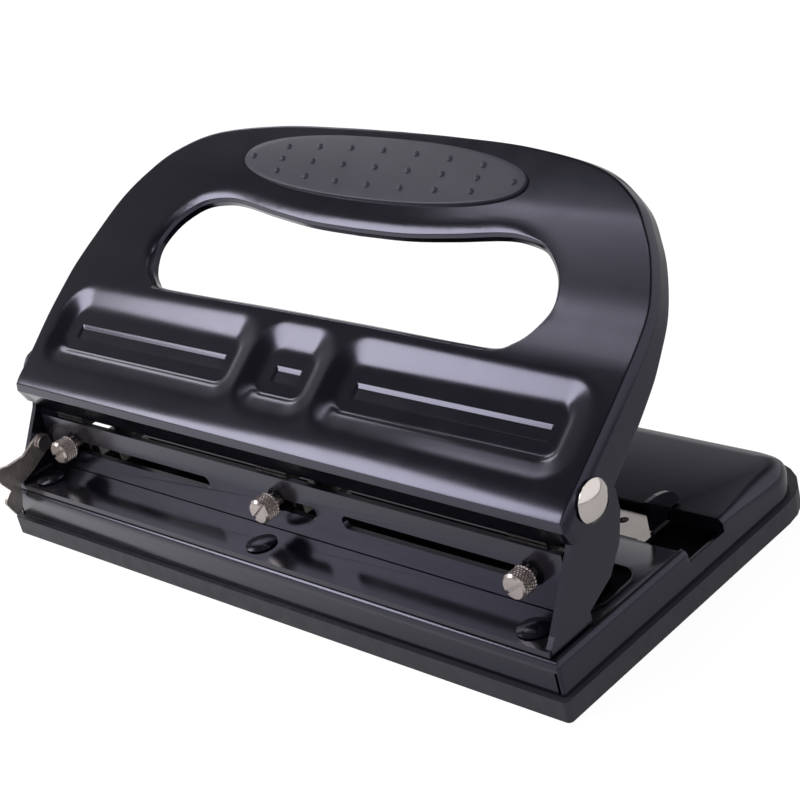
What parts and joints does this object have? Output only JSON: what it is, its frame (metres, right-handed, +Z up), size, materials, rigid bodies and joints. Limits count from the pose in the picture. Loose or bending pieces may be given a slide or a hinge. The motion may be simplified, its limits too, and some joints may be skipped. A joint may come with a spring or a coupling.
{
  "type": "three-hole punch",
  "caption": "Desk punch for binder holes: a leaning sheet-steel handle presses spring-loaded pins in heads that slide along a slotted rail over a tipping base with a chip tray.",
  "frame": {"origin": "centre of the underside of the chip tray, on the table", "axes": "+X along the punch to the right, +Y from the thumbscrews to the paper table, +Z up"},
  "size_m": [0.2648, 0.1378, 0.1201],
  "materials": {
    "black_paint": "gloss black paint on sheet steel",
    "tray_plastic": "matte charcoal",
    "grip_plastic": "matte dark grey",
    "nickel": "bright nickel plate",
    "steel": "ground and drawn steel"
  },
  "bodies": {
    "tray": {"chip_tray": "tray_plastic"},
    "base": {"base_pan": "black_paint", "punch_frame": "black_paint", "rail_plate": "black_paint", "frame_rivet_left": "black_paint", "frame_rivet_middle": "black_paint", "frame_rivet_right": "black_paint", "pivot_rivet_left": "nickel", "pivot_rivet_right": "nickel", "lever_rivet": "nickel"},
    "handle": {"handle_shell": "black_paint", "grip_insert": "grip_plastic"},
    "head_left": {"punch_head_left": "nickel", "die_bush_left": "steel", "return_spring_left": "steel"},
    "pin_left": {"punch_pin_left": "steel", "pin_clip_left": "steel"},
    "screw_left": {"thumb_screw_left": "nickel"},
    "head_middle": {"punch_head_middle": "nickel", "die_bush_middle": "steel", "return_spring_middle": "steel"},
    "pin_middle": {"punch_pin_middle": "steel", "pin_clip_middle": "steel"},
    "screw_middle": {"thumb_screw_middle": "nickel"},
    "head_right": {"punch_head_right": "nickel", "die_bush_right": "steel", "return_spring_right": "steel"},
    "pin_right": {"punch_pin_right": "steel", "pin_clip_right": "steel"},
    "screw_right": {"thumb_screw_right": "nickel"},
    "lever": {"lock_lever": "nickel"},
    "guide": {"guide_strip": "nickel", "guide_tab": "black_paint"}
  },
  "joints": [
    {"name": "base_tip", "type": "hinge", "parent": "tray", "child": "base", "pos_m": [0, 0.0619, 0.0071], "axis": [-1, 0, 0], "range_deg": [0, 30]},
    {"name": "handle_press", "type": "hinge", "parent": "base", "child": "handle", "pos_m": [0, -0.0337, 0.0548], "axis": [-1, 0, 0], "range_deg": [0, 30], "stiffness_Nm_per_rad": 0.6, "springref_deg": -34.38},
    {"name": "head_slide_left", "type": "slide", "parent": "base", "child": "head_left", "axis": [1, 0, 0], "range_m": [-0.0015, 0.0735]},
    {"name": "pin_drop_left", "type": "slide", "parent": "head_left", "child": "pin_left", "axis": [0, 0, -1], "range_m": [0, 0.0073], "deforming": ["return_spring_left"]},
    {"name": "screw_turn_left", "type": "hinge", "parent": "head_left", "child": "screw_left", "pos_m": [-0.108, -0.0433, 0.031], "axis": [0, -1, 0], "range_deg": [0, 360]},
    {"name": "head_slide_middle", "type": "slide", "parent": "base", "child": "head_middle", "axis": [1, 0, 0], "range_m": [-0.0015, 0.0175]},
    {"name": "pin_drop_middle", "type": "slide", "parent": "head_middle", "child": "pin_middle", "axis": [0, 0, -1], "range_m": [0, 0.0073], "deforming": ["return_spring_middle"]},
    {"name": "screw_turn_middle", "type": "hinge", "parent": "head_middle", "child": "screw_middle", "pos_m": [0, -0.0433, 0.031], "axis": [0, -1, 0], "range_deg": [0, 360]},
    {"name": "head_slide_right", "type": "slide", "parent": "base", "child": "head_right", "axis": [1, 0, 0], "range_m": [-0.0735, 0.0015]},
    {"name": "pin_drop_right", "type": "slide", "parent": "head_right", "child": "pin_right", "axis": [0, 0, -1], "range_m": [0, 0.0073], "deforming": ["return_spring_right"]},
    {"name": "screw_turn_right", "type": "hinge", "parent": "head_right", "child": "screw_right", "pos_m": [0.108, -0.0433, 0.031], "axis": [0, -1, 0], "range_deg": [0, 360]},
    {"name": "lever_swing", "type": "hinge", "parent": "base", "child": "lever", "pos_m": [-0.1233, -0.0466, 0.0306], "axis": [-1, 0, 0], "range_deg": [0, 45]},
    {"name": "guide_slide", "type": "slide", "parent": "base", "child": "guide", "axis": [1, 0, 0], "range_m": [0, 0.045]}
  ],
  "couplings": [
    {"joint": "pin_drop_left", "follows": "handle_press", "m_per_rad": 0.01387},
    {"joint": "pin_drop_middle", "follows": "handle_press", "m_per_rad": 0.01387},
    {"joint": "pin_drop_right", "follows": "handle_press", "m_per_rad": 0.01387}
  ]
}
